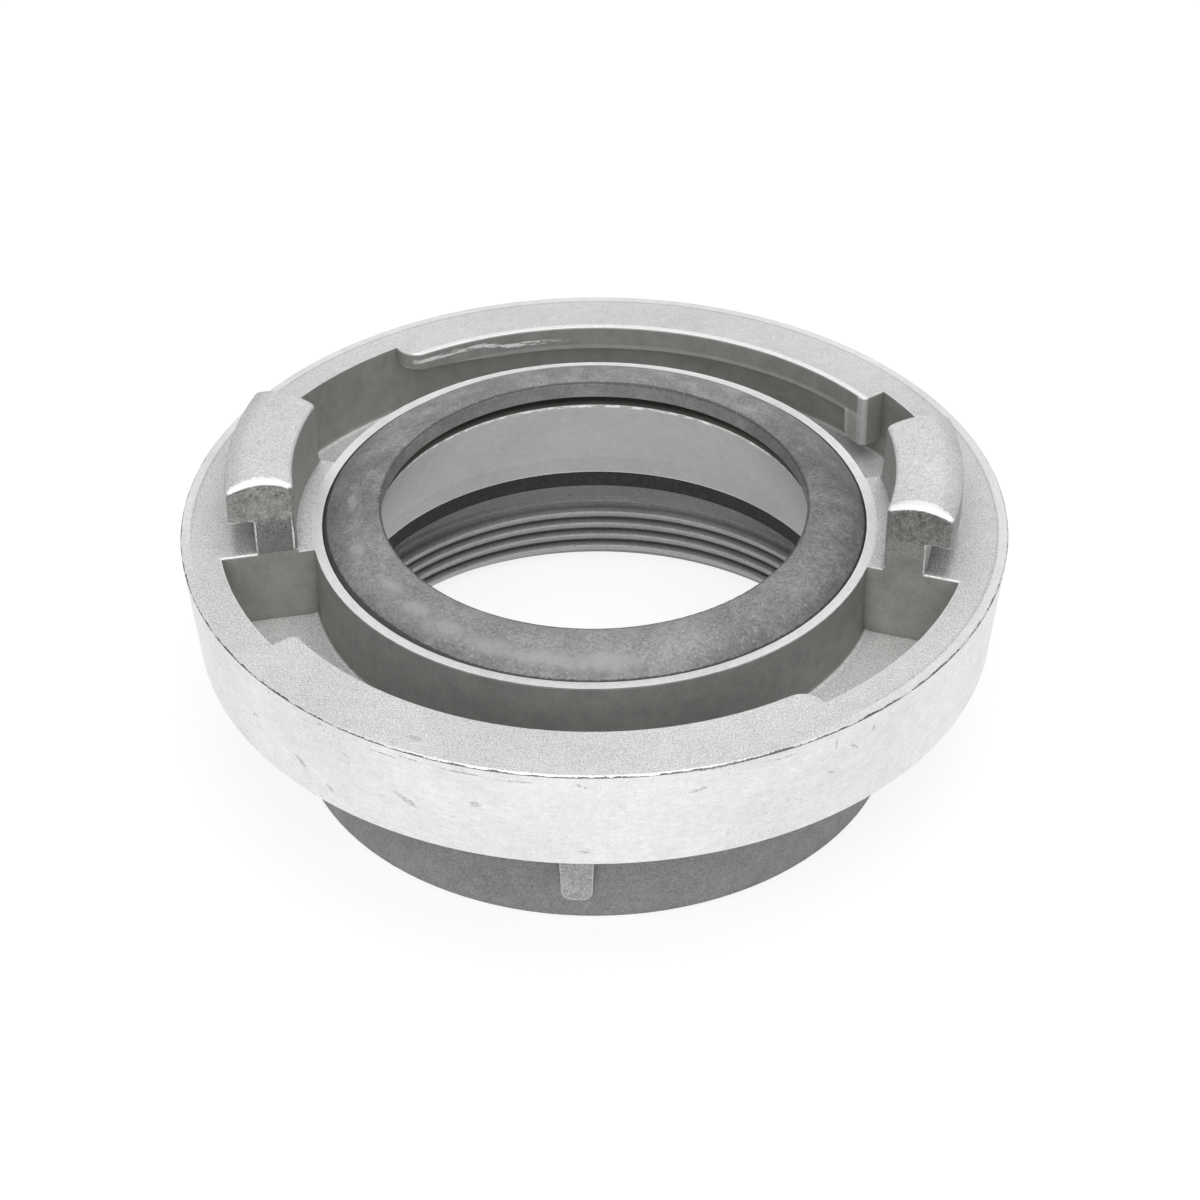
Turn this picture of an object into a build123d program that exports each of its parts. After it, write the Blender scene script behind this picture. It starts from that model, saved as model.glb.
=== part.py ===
from build123d import *
import math
import os

# Quarter turn fire hose coupling, size 75-B, fixed kind, with a female pipe thread.
# Millimetres and degrees. The axis of the waterway is Z. The end face of the hub is
# z = 0, and the claws point up. The claws stand on the X axis.

# Claw ring
face_height = 40.3
ring_wall = 5.7
ring_draft = 1.5
ring_edge_break = 0.25
floor_thickness = 5.1

# Room that the mating claw has: at its hook's tip, at its neck, beside the spigot,
# above the lip that it holds, and under its crown
hook_clearance = 1.6
neck_clearance = 1.3
spigot_clearance = 2.4
lip_clearance = 1.4
floor_clearance = 0.7

# Lips that hold the mating claws
lip_thickness = 4.0
lip_stop_angle = 38.4
lip_entry_angle = 128.0
lip_entry_round = 3.4
lip_stop_round = 0.9
lip_edge_round = 0.35
ramp_angle = 17.0
ramp_rise = 1.4

# Stops at the closed end of the lips
stop_width = 4.3
stop_drop = 4.9
stop_round = 1.8

# Claws: their inner faces stand a little outside the thread's major radius. Seen from
# above, ccw is a claw's counter-clockwise end and cw the other, each measured from the
# claw's middle. The two ends lean by different amounts.
claw_offset = 1.06
claw_ccw_angle = 15.4
claw_cw_angle = 16.0
claw_ccw_draft = 10.5
claw_cw_draft = 2.0
neck_thickness = 6.2
hook_overhang = 3.8
claw_height = 11.5
crown_inner_drop = 1.4
crown_outer_drop = 1.2
head_inner_round = 0.9
head_outer_round = 1.3
head_end_round = 0.75
hook_root_round = 0.6

# Spigot and seal groove: its rim is turned a little below the face, out to the claws
rim_thickness = 1.45
rim_drop = 0.5
groove_width = 4.3
groove_depth = 8.4
channel_round = 1.0

# Throat: how far its two ends lie inside and outside the seal groove's inner wall
throat_wall = 3.45
throat_flare = 1.65
throat_entry_depth = 2.7
throat_land = 2.8
shoulder_height = 21.1

# Pipe thread G 3: the bore has the thread's major diameter
thread_major_diameter = 87.88
thread_length = 12.0
relief_clearance = 0.6
mouth_chamfer = 1.2

# Hub
hub_wall = 2.76
hub_draft = 3.0
hub_root_round = 2.5
hub_edge_break = 0.5

# Casting ribs between the hub and the ring
rib_count = 4
rib_root_width = 5.8
rib_end_width = 4.4
rib_end_height = 6.2
rib_reach = 1.7
rib_round = 1.6

# Face seal
seal_clearance = 0.12
seal_overhang = 1.3
seal_edge_drop = 0.2
seal_crown_rise = 2.3
seal_bore_rise = 2.2
seal_bore_round = 0.3
seal_bore_drop = 0.5
seal_bore_taper = 0.3
seal_throat_gap = 0.8

# Thread gasket
gasket_bore_clearance = 0.2
gasket_thickness = 2.9
gasket_rim_clearance = 0.25

# Depth to which one region of the casting runs into the next, and how close counts as touching
weld = 0.8
tolerance = 0.001

# Derived radii: the thread sets the hub and the claws, and the claws set the rest
thread_radius = thread_major_diameter / 2
relief_radius = thread_radius + relief_clearance
hub_end_radius = thread_radius + hub_wall
claw_inner_radius = thread_radius + claw_offset
neck_outer_radius = claw_inner_radius + neck_thickness
hook_radius = neck_outer_radius + hook_overhang
lip_radius = neck_outer_radius + neck_clearance
slot_radius = hook_radius + hook_clearance
lip_depth = slot_radius - lip_radius
ring_radius = slot_radius + ring_wall
ring_foot_radius = ring_radius - ring_draft
spigot_radius = claw_inner_radius - spigot_clearance
rim_radius = spigot_radius - rim_thickness
groove_inner_radius = rim_radius - groove_width
throat_entry_radius = groove_inner_radius - throat_wall
throat_radius = groove_inner_radius + throat_flare
seal_bore_radius = throat_entry_radius - seal_overhang

# Derived heights
rim_height = face_height - rim_drop
hook_underside = face_height + lip_thickness + lip_clearance
claw_top = face_height + claw_height
lip_underside = face_height - lip_thickness
floor_height = face_height - claw_height - floor_clearance
underside_height = floor_height - floor_thickness
groove_floor = face_height - groove_depth
throat_entry_height = face_height - throat_entry_depth
hub_root_radius = hub_end_radius + underside_height * math.tan(math.radians(hub_draft))


def rounded(face, corners):
    """Flat face with some of its corners rounded, given as (point, radius) pairs."""
    for point, radius in corners:
        corner = face.vertices().sort_by_distance((*point, 0))[0]
        face = fillet(corner, radius)
    return face


def section(outline, corners=()):
    """Face in the XZ plane through (radius, height) points, with some corners rounded."""
    return Plane.XZ * rounded(make_face(Polyline(*outline, close=True)), corners)


def polar(radius, azimuth, height):
    """Point at a radius and azimuth round the axis."""
    turn = math.radians(azimuth)
    return Vector(radius * math.cos(turn), radius * math.sin(turn), height)


def edge_through(shape, point):
    """Edge of a shape that runs through a point."""
    return shape.edges().sort_by_distance(point)[0]


def sector(face, start, end):
    """Solid swept by a section round the axis, from one azimuth to the other."""
    return Rot(0, 0, start) * revolve(face, Axis.Z, end - start)


def twice(shape):
    """The shape and its copy half a turn round the axis."""
    return [shape, Rot(0, 0, 180) * shape]


def turned_blank():
    """Ring, channel floor, spigot, throat and hub: all that is round the whole way."""
    floor_corners = [(slot_radius, floor_height), (spigot_radius, floor_height)]
    relief_end = thread_length - relief_clearance
    hub_root = (hub_root_radius, underside_height)
    outline = [
        (thread_radius + mouth_chamfer, 0),
        (hub_end_radius - hub_edge_break, 0),
        (hub_end_radius, hub_edge_break),
        hub_root,
        (ring_foot_radius - ring_edge_break, underside_height),
        (ring_foot_radius, underside_height + ring_edge_break),
        (ring_radius, face_height - ring_edge_break),
        (ring_radius - ring_edge_break, face_height),
        (slot_radius, face_height),
        *floor_corners,
        (spigot_radius, rim_height),
        (rim_radius, rim_height),
        (rim_radius, groove_floor),
        (groove_inner_radius, groove_floor),
        (groove_inner_radius, throat_entry_height),
        (throat_entry_radius, throat_entry_height),
        (throat_radius, shoulder_height + throat_land),
        (throat_radius, shoulder_height),
        (relief_radius, shoulder_height),
        (relief_radius, thread_length),
        (thread_radius, relief_end),
        (thread_radius, mouth_chamfer),
    ]
    rounds = [(corner, channel_round) for corner in floor_corners]
    rounds.append((hub_root, hub_root_round))
    return revolve(section(outline, rounds), Axis.Z)


def bridge():
    """Solid block across the channel, which carries a claw."""
    outline = [
        (spigot_radius - weld, floor_height - weld),
        (slot_radius + weld, floor_height - weld),
        (slot_radius + weld, face_height),
        (claw_inner_radius, face_height),
        (claw_inner_radius, rim_height),
        (spigot_radius - weld, rim_height),
    ]
    return sector(section(outline), -claw_cw_angle, claw_ccw_angle)


def claw():
    """Neck and outward hook, with an arched top and ends that lean inward."""
    crown = ((claw_inner_radius + hook_radius) / 2, claw_top)
    hook_root = (neck_outer_radius, hook_underside)
    head_outer = (hook_radius, claw_top - crown_outer_drop)
    head_inner = (claw_inner_radius, claw_top - crown_inner_drop)
    outline = Polyline(
        head_inner,
        (claw_inner_radius, face_height - weld),
        (neck_outer_radius, face_height - weld),
        hook_root,
        (hook_radius, hook_underside),
        head_outer,
    )
    arch = ThreePointArc(head_outer, crown, head_inner)
    rounds = [
        (hook_root, hook_root_round),
        (head_outer, head_outer_round),
        (head_inner, head_inner_round),
    ]
    profile = rounded(make_face(Curve() + [outline, arch]), rounds)
    solid = sector(Plane.XZ * profile, -claw_cw_angle, claw_ccw_angle)
    for end in claw_end_planes():
        solid = split(solid, bisect_by=end, keep=Keep.BOTTOM)
        on_end = solid.edges().filter_by(lambda edge: outlines_head(edge, end))
        solid = fillet(on_end, head_end_round)
    return solid


def claw_end_planes():
    """Planes of a claw's two ends, which lean inward from the face of the ring upwards."""
    ends = [(claw_ccw_angle + 90, claw_ccw_draft), (-claw_cw_angle - 90, claw_cw_draft)]
    outward = [polar(1, azimuth, math.tan(math.radians(draft))) for azimuth, draft in ends]
    return [Plane((0, 0, face_height), z_dir=direction) for direction in outward]


def outlines_head(edge, end):
    """Whether an edge lies in a claw's end plane, higher than the underside of the hook."""
    ends = [edge @ place for place in (0, 0.5, 1)]
    in_plane = all(abs(end.to_local_coords(point).Z) < tolerance for point in ends)
    above = all(point.Z > hook_underside - tolerance for point in ends)
    return in_plane and above and ends[1].Z > hook_underside + tolerance


def ramp_cutter():
    """Block that takes the ramp off the underside of the lip at its entry end."""
    reach = slot_radius * math.sin(math.radians(ramp_angle))
    slope = math.degrees(math.atan(ramp_rise / reach))
    blank = Box(
        4 * lip_depth, 2 * reach, lip_thickness,
        align=(Align.CENTER, Align.MIN, Align.MAX),
    )
    start = Rot(0, 0, lip_entry_angle - ramp_angle) * Pos(lip_radius, 0, lip_underside)
    return start * Rot(slope, 0, 0) * blank


def lip_and_stop():
    """Inward lip over the channel, ramped at its entry, with the turn stop at its other end."""
    outer_radius = slot_radius + weld
    middle_radius = (lip_radius + slot_radius) / 2
    stop_bottom = lip_underside - stop_drop
    stop_end_angle = lip_stop_angle + math.degrees(stop_width / lip_radius)
    lip_outline = [
        (lip_radius, lip_underside),
        (outer_radius, lip_underside),
        (outer_radius, face_height),
        (lip_radius, face_height),
    ]
    stop_outline = [
        (lip_radius, stop_bottom),
        (outer_radius, stop_bottom),
        (outer_radius, face_height),
        (lip_radius, face_height),
    ]
    lip = sector(section(lip_outline), lip_stop_angle, lip_entry_angle)
    stop = sector(section(stop_outline), lip_stop_angle, stop_end_angle)
    stop_heel = polar(middle_radius, stop_end_angle, stop_bottom)
    whole = lip + fillet(edge_through(stop, stop_heel), stop_round)
    entry_corner = polar(lip_radius, lip_entry_angle, face_height - lip_thickness / 2)
    whole = fillet(edge_through(whole, entry_corner), lip_entry_round)
    stop_corner = polar(lip_radius, lip_stop_angle, face_height - lip_thickness / 2)
    whole = fillet(edge_through(whole, stop_corner), lip_stop_round)
    return whole - ramp_cutter()


def rib():
    """Tongue-shaped rib on the hub, below the ring."""
    root_half = rib_root_width / 2
    end_half = rib_end_width / 2
    root_height = underside_height + weld
    outline = [
        (-root_half, root_height),
        (-end_half, rib_end_height),
        (end_half, rib_end_height),
        (root_half, root_height),
    ]
    ends = [(corner, rib_round) for corner in outline[1:3]]
    tongue = rounded(make_face(Polyline(*outline, close=True)), ends)
    reach = hub_root_radius + rib_reach - relief_radius - weld
    return Plane.YZ.offset(relief_radius + weld) * extrude(tongue, reach)


def coupling_body():
    """The one casting."""
    body = turned_blank()
    for shape in twice(bridge() + claw()):
        body += shape
    for shape in twice(lip_and_stop()):
        body += shape
    for index in range(rib_count):
        body += Rot(0, 0, index * 360 / rib_count) * rib()
    return fillet(body.edges().filter_by(tops_lip), lip_edge_round)


def tops_lip(edge):
    """Whether an edge runs round the top of a lip, on the side of the waterway."""
    on_face = all(abs((edge @ place).Z - face_height) < tolerance for place in (0, 0.5, 1))
    middle = edge @ 0.5
    reach = math.hypot(middle.X, middle.Y)
    return on_face and lip_radius - tolerance < reach < slot_radius - tolerance


def face_seal():
    """Rubber ring in the groove, with a crowned lip that reaches in over the throat."""
    outer_radius = rim_radius - seal_clearance
    inner_radius = groove_inner_radius + seal_clearance
    edge = (outer_radius, rim_height - seal_edge_drop)
    crown = ((outer_radius + seal_bore_radius) / 2, face_height + seal_crown_rise)
    bore_top = (seal_bore_radius, face_height + seal_bore_rise)
    bore_bottom = (seal_bore_radius + seal_bore_taper, face_height - seal_bore_drop)
    lip_root = (inner_radius, throat_entry_height + seal_throat_gap)
    outline = Polyline(
        bore_top,
        bore_bottom,
        lip_root,
        (inner_radius, groove_floor),
        (outer_radius, groove_floor),
        edge,
    )
    top = ThreePointArc(edge, crown, bore_top)
    profile = rounded(make_face(Curve() + [outline, top]), [(bore_top, seal_bore_round)])
    return revolve(Plane.XZ * profile, Axis.Z)


def thread_gasket():
    """Flat rubber ring against the shoulder at the inner end of the thread."""
    gasket_bottom = shoulder_height - gasket_thickness
    outer_radius = relief_radius - gasket_rim_clearance
    inner_radius = throat_radius + gasket_bore_clearance
    outline = [
        (inner_radius, gasket_bottom),
        (outer_radius, gasket_bottom),
        (outer_radius, shoulder_height),
        (inner_radius, shoulder_height),
    ]
    return revolve(section(outline), Axis.Z)


os.makedirs("parts", exist_ok=True)
nodes = {
    "coupling_body": coupling_body(),
    "face_seal": face_seal(),
    "thread_gasket": thread_gasket(),
}
for name, shape in nodes.items():
    export_step(shape, f"parts/{name}.step")
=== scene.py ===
# %% [markdown]
# Quarter turn fire hose coupling
#
# The object is one aluminium casting with two rubber rings in it. A foundry casts the claws,
# the channel between them and the hub. A lathe then turns the outside of the ring, the rim
# round the seal, the throat and the pipe thread. So one piece of metal shows several
# finishes, and most of this lesson is about telling the shader where each of them is.
#
# The shape comes from the packed CAD model, which is loaded as a fixed frame. Blender adds
# the thread's helical ridge, the materials, the light and the camera.

# %% Load the frame
import math

import bpy
from mathutils import Matrix, Vector


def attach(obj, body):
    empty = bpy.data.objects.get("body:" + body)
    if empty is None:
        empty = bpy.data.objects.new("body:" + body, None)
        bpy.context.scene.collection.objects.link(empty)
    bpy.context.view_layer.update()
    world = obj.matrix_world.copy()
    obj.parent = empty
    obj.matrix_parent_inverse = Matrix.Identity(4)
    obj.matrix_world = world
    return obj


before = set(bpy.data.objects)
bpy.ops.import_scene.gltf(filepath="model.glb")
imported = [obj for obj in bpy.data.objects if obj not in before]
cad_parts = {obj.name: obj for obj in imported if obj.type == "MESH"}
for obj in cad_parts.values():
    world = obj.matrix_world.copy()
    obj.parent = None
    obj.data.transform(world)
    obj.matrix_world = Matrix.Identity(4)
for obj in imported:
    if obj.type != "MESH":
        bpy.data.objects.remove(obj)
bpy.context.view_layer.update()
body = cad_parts["coupling_body"]
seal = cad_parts["face_seal"]
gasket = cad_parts["thread_gasket"]

# %% [markdown]
# Sizes that the finishes need
#
# Each finish starts and stops at a radius or a height of the casting, so these are the few
# sizes of the CAD model that the shader has to know. They are in millimetres, because the
# shader reads its place in millimetres too, and small numbers with few zeros are easier to
# read in a formula.

# %% Sizes of the casting, in millimetres
MM = 0.001

RING_FOOT = 23.0
CHANNEL_FLOOR = 28.1
STOP_BOTTOM = 31.4
LIP_FOOT = 36.3
RIM_TOP = 39.8
FACE = 40.3
HOOK_BOTTOM = FACE + 5.4

RING_RADIUS = 62.3
BORDER_RADIUS = 60.7
CHANNEL_RADIUS = 56.6
LIP_RADIUS = 52.5
NECK_RADIUS = 51.2
CLAW_RADIUS = 45.0
SPIGOT_RADIUS = 42.6
RIM_RADIUS = 41.15

THROAT_TOP = 37.6
THROAT_MOUTH_RADIUS = 33.4
LAND_RADIUS = 36.8
THROAT_RADIUS = 38.5
SHOULDER = 21.1
THREAD_RADIUS = 43.94
THREAD_CREST_RADIUS = 42.46
THREAD_PITCH = 2.309
RIB_RADIUS = 48.2
# Heights between which the grey of a rib fades into the hub's.
RIB_FADE = (13.0, 20.6)

# Azimuth of each front end plane of the claws at the face, and its lean, in degrees.
CLAW_ENDS = {"left": (15.4, 10.5), "right": (-16.0, 2.0)}
# Azimuths of a stop's two upright edges, in degrees.
STOP_ANGLES = (38.4, 43.1)
print("ring", 2 * RING_RADIUS, "mm across, face at", FACE, "mm")

# %% [markdown]
# Shader maths as Python
#
# A procedural material is mostly arithmetic: a distance, a threshold, one mask times
# another. Placing Math nodes by hand hides that arithmetic in a web of links. Here a small
# class wraps an output socket and overloads the operators, so that `1 - mask` adds a Math
# node and gives back a new wrapped socket. Everything that isn't arithmetic comes from one
# method, `add`, which takes the node's type, its settings and its inputs.

# %% Sockets that do arithmetic


class Signal:
    """An output socket that takes part in Python arithmetic."""

    def __init__(self, tree, socket):
        self.tree = tree
        self.socket = socket

    def maths(self, operation, *operands):
        inputs = dict(enumerate(operands))
        return self.tree.add("ShaderNodeMath", {"operation": operation}, inputs)

    def __add__(self, other):
        return self.maths("ADD", self, other)

    def __sub__(self, other):
        return self.maths("SUBTRACT", self, other)

    def __rsub__(self, other):
        return self.maths("SUBTRACT", other, self)

    def __mul__(self, other):
        return self.maths("MULTIPLY", self, other)

    def __truediv__(self, other):
        return self.maths("DIVIDE", self, other)

    def __pow__(self, other):
        return self.maths("POWER", self, other)

    __radd__ = __add__
    __rmul__ = __mul__

    def unsigned(self):
        """The value without its sign."""
        return self.maths("ABSOLUTE", self)

    def greatest(self, other):
        return self.maths("MAXIMUM", self, other)

    def rises(self, start, end):
        """0 up to start, 1 from end on, and a soft step between them."""
        settings = {"interpolation_type": "SMOOTHSTEP"}
        inputs = {"Value": self, "From Min": start, "From Max": end}
        return self.tree.add("ShaderNodeMapRange", settings, inputs)

    def between(self, low, high, soft):
        """1 from low to high, fading over a soft distance outside them."""
        return self.rises(low - soft, low) * (1 - self.rises(high, high + soft))


print("a signal can:", [name for name in vars(Signal) if not name.startswith("_")])

# %% [markdown]
# The nodes themselves live in a tree: a material's, the world's, or the one of a Geometry
# Nodes modifier. They are all added in one way, so one class serves all three. A finish is
# such a tree that belongs to a material.

# %% Trees of nodes, and finishes


class Tree:
    """A node tree, with one method that adds any node."""

    def __init__(self, node_tree):
        self.nodes = node_tree.nodes
        self.links = node_tree.links
        self.nodes.clear()

    def add(self, kind, settings=None, inputs=None, output=0):
        """Adds a node, sets it up, fills its inputs and returns one of its outputs."""
        node = self.nodes.new(kind)
        for name, value in (settings or {}).items():
            setattr(node, name, value)
        for name, value in (inputs or {}).items():
            if isinstance(value, Signal):
                self.links.new(value.socket, node.inputs[name])
            else:
                node.inputs[name].default_value = value
        return Signal(self, node.outputs[output]) if node.outputs else None


class Finish(Tree):
    """The tree of a new material, with the ways in which colours are mixed."""

    def __init__(self, name):
        self.material = bpy.data.materials.new(name)
        self.material.use_nodes = True
        super().__init__(self.material.node_tree)

    def blend(self, mask, below, above):
        """Colour that is below where the mask is 0 and above where it is 1."""
        colours = [c if isinstance(c, Signal) else (*c, 1) for c in (below, above)]
        inputs = {0: mask, 6: colours[0], 7: colours[1]}
        return self.add("ShaderNodeMix", {"data_type": "RGBA"}, inputs, output=2)

    def noise(self, where, scale, detail=2.0, roughness=0.5):
        """Fractal noise from about 0 to 1, at a scale in features per millimetre."""
        inputs = {"Vector": where, "Scale": scale, "Detail": detail, "Roughness": roughness}
        return self.add("ShaderNodeTexNoise", None, inputs)

    def shaded(self, colour, shade):
        """Colour made lighter or darker by a shade near 1."""
        grey = self.add("ShaderNodeCombineXYZ", None, {0: shade, 1: shade, 2: shade})
        settings = {"data_type": "RGBA", "blend_type": "MULTIPLY"}
        return self.add("ShaderNodeMix", settings, {0: 1.0, 6: colour, 7: grey}, output=2)

    def finished(self, colour, roughness, metallic, height, depth, strength=1.0):
        """Joins the surface's own shader to the output and returns the material.

        A bump works its height out three times over, so what only makes the relief
        stronger or weaker goes to its strength.
        """
        relief = {"Height": height, "Strength": strength, "Distance": depth * MM}
        bump = self.add("ShaderNodeBump", None, relief)
        inputs = {
            "Base Color": colour,
            "Roughness": roughness,
            "Metallic": metallic,
            "Normal": bump,
        }
        surface = self.add("ShaderNodeBsdfPrincipled", None, inputs)
        self.add("ShaderNodeOutputMaterial", None, {"Surface": surface})
        return self.material


print("a finish can:", [name for name in vars(Finish) if not name.startswith("_")])

# %% [markdown]
# Where the shader is
#
# The casting is round, so the useful coordinates are its radius, its height and the way
# round the axis, not X and Y. Object coordinates stay with the piece wherever the camera
# or the exported model goes. The surface's normal tells a wall from a floor, and an
# outward wall from an inward one.
#
# A lathe leaves marks that run round the axis. An angle would do for them, but it jumps
# from plus to minus half a turn at one place, and a pattern tears there. The direction
# from the axis, as a point on a circle, has no such place.

# %% Place on a round piece


class RoundPlace:
    """The point being shaded, in millimetres, in the terms of a turned piece."""

    def __init__(self, finish):
        self.finish = finish
        metres = finish.add("ShaderNodeTexCoord", output="Object")
        inputs = {"Vector": metres, "Scale": (1 / MM, 1 / MM, 1 / MM)}
        self.point = finish.add("ShaderNodeMapping", None, inputs)
        facing = finish.add("ShaderNodeTexCoord", output="Normal")
        self.x, self.y, self.z = self.parts(self.point)
        across, along, self.up = self.parts(facing)
        self.radius = (self.x * self.x + self.y * self.y) ** 0.5
        self.outward = (self.x * across + self.y * along) / self.radius
        self.inward = 0 - self.outward
        self.outside = self.outward.rises(0.5, 0.8)
        self.inside = self.inward.rises(0.5, 0.8)
        self.level = self.up.rises(0.6, 0.85)
        self.front = 1 - self.y.rises(-4.0, 4.0)
        self.left = 1 - self.x.rises(-1.0, 1.0)
        self.half = self.x.maths("SIGN", self.x)

    def parts(self, vector):
        split = "ShaderNodeSeparateXYZ"
        return [self.finish.add(split, None, {0: vector}, output=axis) for axis in "XYZ"]

    def turned(self, around, across):
        """Point for marks that run round the axis: few round it, and many across it."""
        inputs = {
            0: self.x / self.radius * around,
            1: self.y / self.radius * around,
            2: (self.radius + self.z) * across,
        }
        return self.finish.add("ShaderNodeCombineXYZ", None, inputs)

    def clockwise_of(self, azimuth):
        """Distance clockwise of a plane through the axis, in each half of the piece."""
        turn = math.radians(azimuth)
        return (self.x * math.sin(turn) - self.y * math.cos(turn)) * self.half

    def behind_claw_end(self, azimuth, lean):
        """Distance behind the end plane of the claws, which stand on the X axis."""
        distance = self.clockwise_of(azimuth) * math.copysign(1, azimuth)
        return distance - (self.z - FACE) * math.tan(math.radians(lean))

    def away(self, azimuth, radius, height, size, tilt=0.0, twist=0.0):
        """Distance from the middle of an ellipsoid that lies on the piece, 1 at its skin.

        The size is its reach along the radius, round the piece and upwards. A tilt turns
        it on an upright wall, and a twist turns it on a level face.
        """
        turn = math.radians(azimuth)
        inputs = {
            "Vector": self.point,
            "Location": (radius * math.cos(turn), radius * math.sin(turn), height),
            "Rotation": (math.radians(tilt), 0, turn + math.radians(twist)),
            "Scale": size,
        }
        local = self.finish.add("ShaderNodeMapping", {"vector_type": "TEXTURE"}, inputs)
        length = {"operation": "LENGTH"}
        return self.finish.add("ShaderNodeVectorMath", length, {0: local}, output=1)


print("a round place knows:", [name for name in vars(RoundPlace) if not name.startswith("_")])

# %% [markdown]
# Worn edges
#
# Handling and the blasting that follows the casting round every sharp edge and leave it
# brighter than the faces beside it. The Bevel node looks at the surface within a small
# distance and gives the normal of a rounded edge. Where that normal departs from the real
# one there is an edge, which gives a mask. Ambient Occlusion then separates the outer
# edges, which wear, from the inner corners, which are painted darker: dirt collects there,
# and the same mask lays painted shade in them. A painted mask would give more control, but
# it would have to be painted again each time that the shape changes.

# %% Masks for worn edges, and for dirt and painted shade in corners

WEAR_REACH = 0.30
# Reach of the darkening in inner corners, which is dirt and painted shade.
DIRT_AND_SHADE_REACH = 2.5


def edge_masks(finish):
    """Masks of the outer edges that wear, and of inner corners with grime and painted shade."""
    rounded = finish.add("ShaderNodeBevel", {"samples": 4}, {"Radius": WEAR_REACH * MM})
    plain = finish.add("ShaderNodeNewGeometry", output="Normal")
    dot = {"operation": "DOT_PRODUCT"}
    likeness = finish.add("ShaderNodeVectorMath", dot, {0: rounded, 1: plain}, output=1)
    edges = 1 - likeness.rises(0.82, 0.985)
    distance = {"Distance": DIRT_AND_SHADE_REACH * MM}
    light = finish.add("ShaderNodeAmbientOcclusion", {"samples": 4}, distance, output=1)
    # The second mask darkens inner corners by how hidden they are: dirt there, and painted shade.
    return edges * light.rises(0.72, 0.95), 1 - light.rises(0.20, 0.90)


print("wear reaches", WEAR_REACH, "mm from an edge, dirt", DIRT_AND_SHADE_REACH, "mm from a corner")

# %% [markdown]
# The casting's surfaces
#
# One material covers the casting, because it is one piece of metal. It needs a mask for
# each of its surfaces. A mask is a product of simple questions: is this place outside a
# radius, above a height, on a wall that faces the axis? Each question is a soft step, a
# tenth of a millimetre wide, so that one finish runs into the next without a hard line.
#
# The ring comes first. A lathe has cut its outside, its top edge and a narrow border round
# the back of its face. In front the border is lost in the blasted grain. The rounded top
# edge gets painted shade, a darker grey where the lamps would light it brightest.

# %% Masks of the ring


def ring_masks(at):
    """Masks of the turned outside of the ring, of painted shade on its edge and of its border."""
    off_front = (at.y + at.x * 0.35).rises(-45.0, -15.0)
    on_border = at.radius.rises(BORDER_RADIUS + 0.1, BORDER_RADIUS + 0.25)
    near_line = at.radius.between(BORDER_RADIUS - 0.15, BORDER_RADIUS + 0.05, 0.2)
    on_edge = at.radius.rises(RING_RADIUS - 0.8, RING_RADIUS - 0.6)
    near_side = at.radius.rises(RING_RADIUS - 2.3, RING_RADIUS - 1.9)
    return {
        "ring_side": at.outside * near_side * at.z.rises(RING_FOOT - 0.2, RING_FOOT),
        "border": on_border * at.up.rises(0.4, 0.6) * off_front,
        "border_line": near_line * at.level * off_front,
        # Painted shade: the rounded top edge is greyed where the lamps would light it brightest.
        "ring_edge": on_edge * at.up.between(0.35, 0.93, 0.05),
    }


print("the ring's side is", round(FACE - RING_FOOT, 2), "mm high")

# %% [markdown]
# Spigot and channel
#
# The spigot is the collar that holds the seal. Its rim is turned, and its wall keeps the
# skin of the mould, as the channel round it does. Its outer wall is painted darker than the
# channel's other walls, as painted shade deep in the channel. The channel's floor is rougher
# and lighter, because it faces up and the blasting reaches it.

# %% Masks of the spigot and the channel


def channel_masks(at):
    """Masks of the spigot's rim and wall, and of the channel and its floor."""
    on_rim = at.radius.between(RIM_RADIUS - 0.2, SPIGOT_RADIUS + 0.05, 0.05)
    near_spigot = 1 - at.radius.rises(SPIGOT_RADIUS + 1.0, SPIGOT_RADIUS + 1.2)
    low = 1 - at.z.rises(CHANNEL_FLOOR + 1.0, CHANNEL_FLOOR + 2.0)
    channel = at.radius.between(SPIGOT_RADIUS - 0.3, CHANNEL_RADIUS + 0.3, 0.1)
    channel = channel * at.z.between(CHANNEL_FLOOR - 0.5, FACE - 0.03, 0.02)
    channel = channel * (1 - at.level * at.z.rises(RIM_TOP - 0.8, RIM_TOP - 0.6))
    return {
        "rim": on_rim * at.z.between(RIM_TOP - 0.2, RIM_TOP + 0.1, 0.1),
        "channel": channel,
        # Painted shade: the spigot's outer wall is darker than the channel's other walls.
        "spigot_wall": channel * at.outside * near_spigot,
        "channel_floor": channel * at.level * low,
    }


print("the channel is", round(CHANNEL_RADIUS - SPIGOT_RADIUS, 2), "mm wide")

# %% [markdown]
# Lips and stops
#
# The two lips hold the hooks of the mating coupling, and a stop below each lip ends its
# turn. The stop's two upright edges and the lower edge of each lip's wall get painted
# highlights, where their roundings would catch the light. The upper edge of the lip at the
# back is worn and gets a painted highlight as well. The angles are measured from the claws,
# in each half of the piece, so both stops come from one formula.

# %% Masks of the lips and stops


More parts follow.
